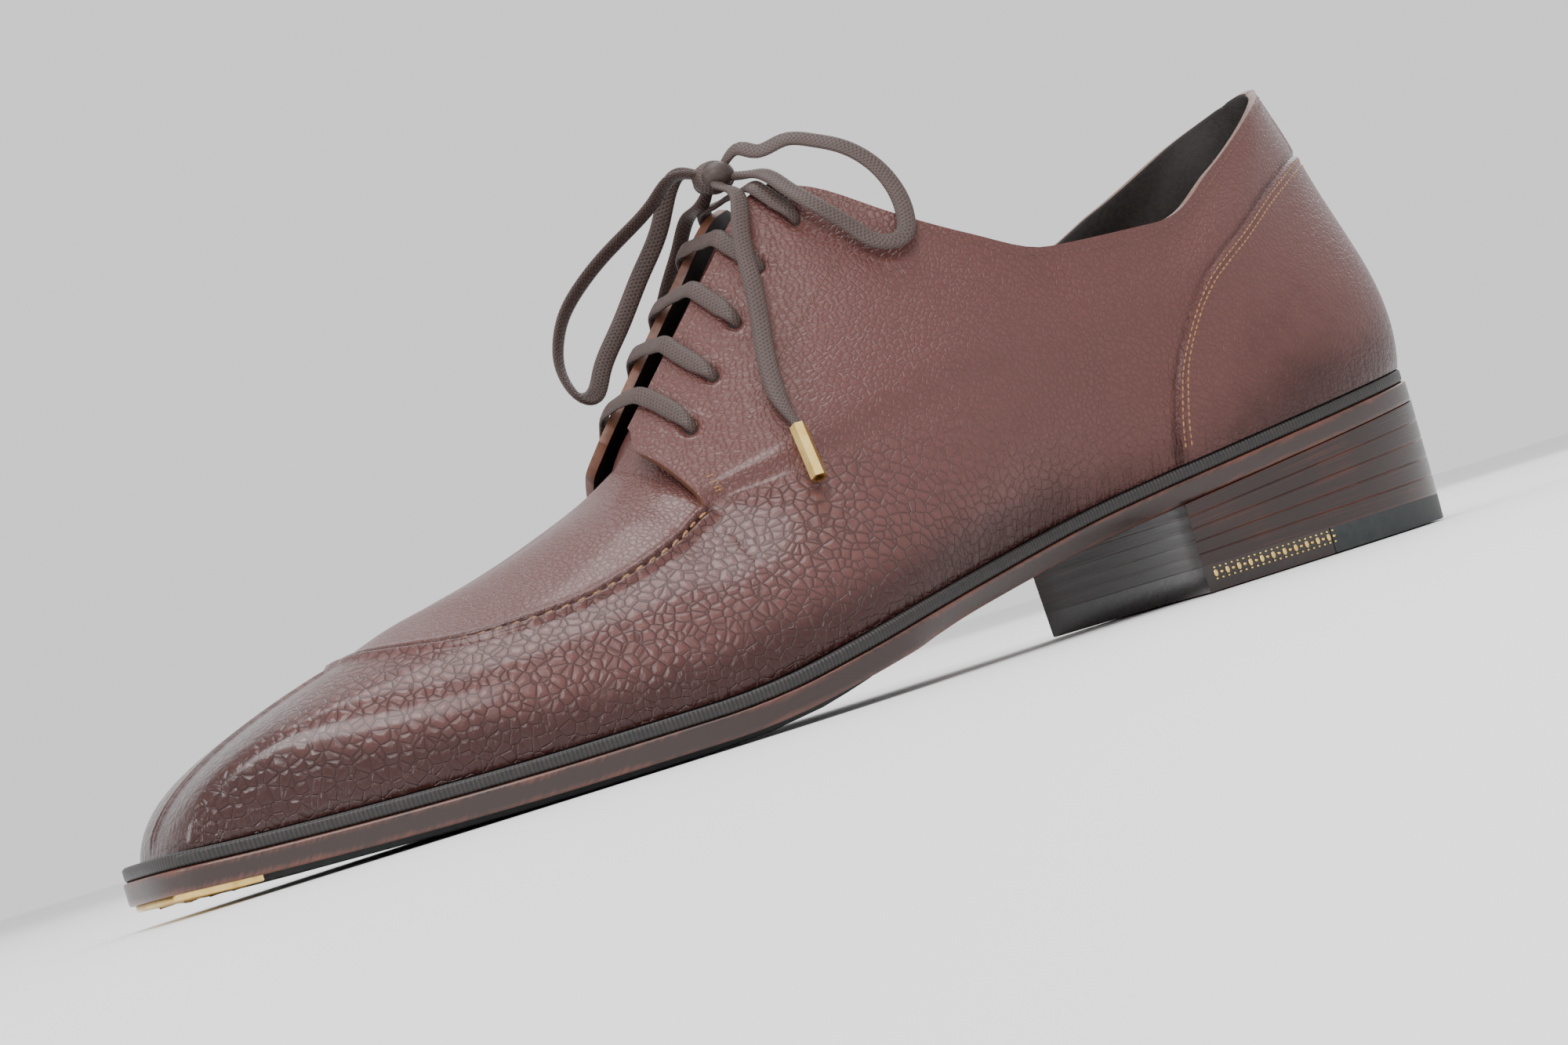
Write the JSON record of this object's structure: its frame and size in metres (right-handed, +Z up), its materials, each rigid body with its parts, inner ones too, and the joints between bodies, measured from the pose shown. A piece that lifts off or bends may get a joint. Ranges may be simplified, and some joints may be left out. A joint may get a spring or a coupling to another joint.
{
  "type": "split toe derby shoe",
  "caption": "Left leather derby with a hand-sewn apron, open bar lacing tied in a bow, welted leather sole, rubber half sole, brass toe plate and stacked heel.",
  "frame": {"origin": "on the ground under the middle of the shoe's length and of its greatest width", "axes": "+X from toe to heel, +Y towards the inner (medial) side, +Z up"},
  "size_m": [0.3058, 0.1044, 0.1175],
  "materials": {
    "grain_leather": "pebbled burgundy brown calf, burnished darker and glossy at the toe and along the welt",
    "tongue_leather": "pebbled burgundy brown calf",
    "lining_leather": "smooth dark lining leather",
    "welt_leather": "black waxed welt with milled top",
    "sole_leather": "polished brown sole leather, edge burnished dark",
    "stacked_leather": "waxed and burnished leather lifts with reddish lines",
    "rubber": "dark grey rubber with fine ribs",
    "brass": "polished brass",
    "waxed_lace": "flat waxed cotton lace, taupe brown"
  },
  "bodies": {
    "root": {"upper": "grain_leather", "tongue": "tongue_leather", "insole": "lining_leather", "welt": "welt_leather", "outsole": "sole_leather", "half_sole": "rubber", "toe_plate": "brass", "heel_lift_1": "stacked_leather", "heel_lift_2": "stacked_leather", "heel_lift_3": "stacked_leather", "heel_lift_4": "stacked_leather", "heel_lift_5": "stacked_leather", "top_piece_leather": "sole_leather", "top_piece_rubber": "rubber", "lace_bar_1": "waxed_lace", "lace_bar_2": "waxed_lace", "lace_bar_3": "waxed_lace", "lace_bar_4": "waxed_lace", "lace_bar_5": "waxed_lace", "lace_knot": "waxed_lace", "lace_loop_lateral": "waxed_lace", "lace_loop_medial": "waxed_lace", "lace_end_lateral": "waxed_lace", "lace_end_medial": "waxed_lace", "aglet_lateral": "brass", "aglet_medial": "brass"}
  },
  "joints": []
}
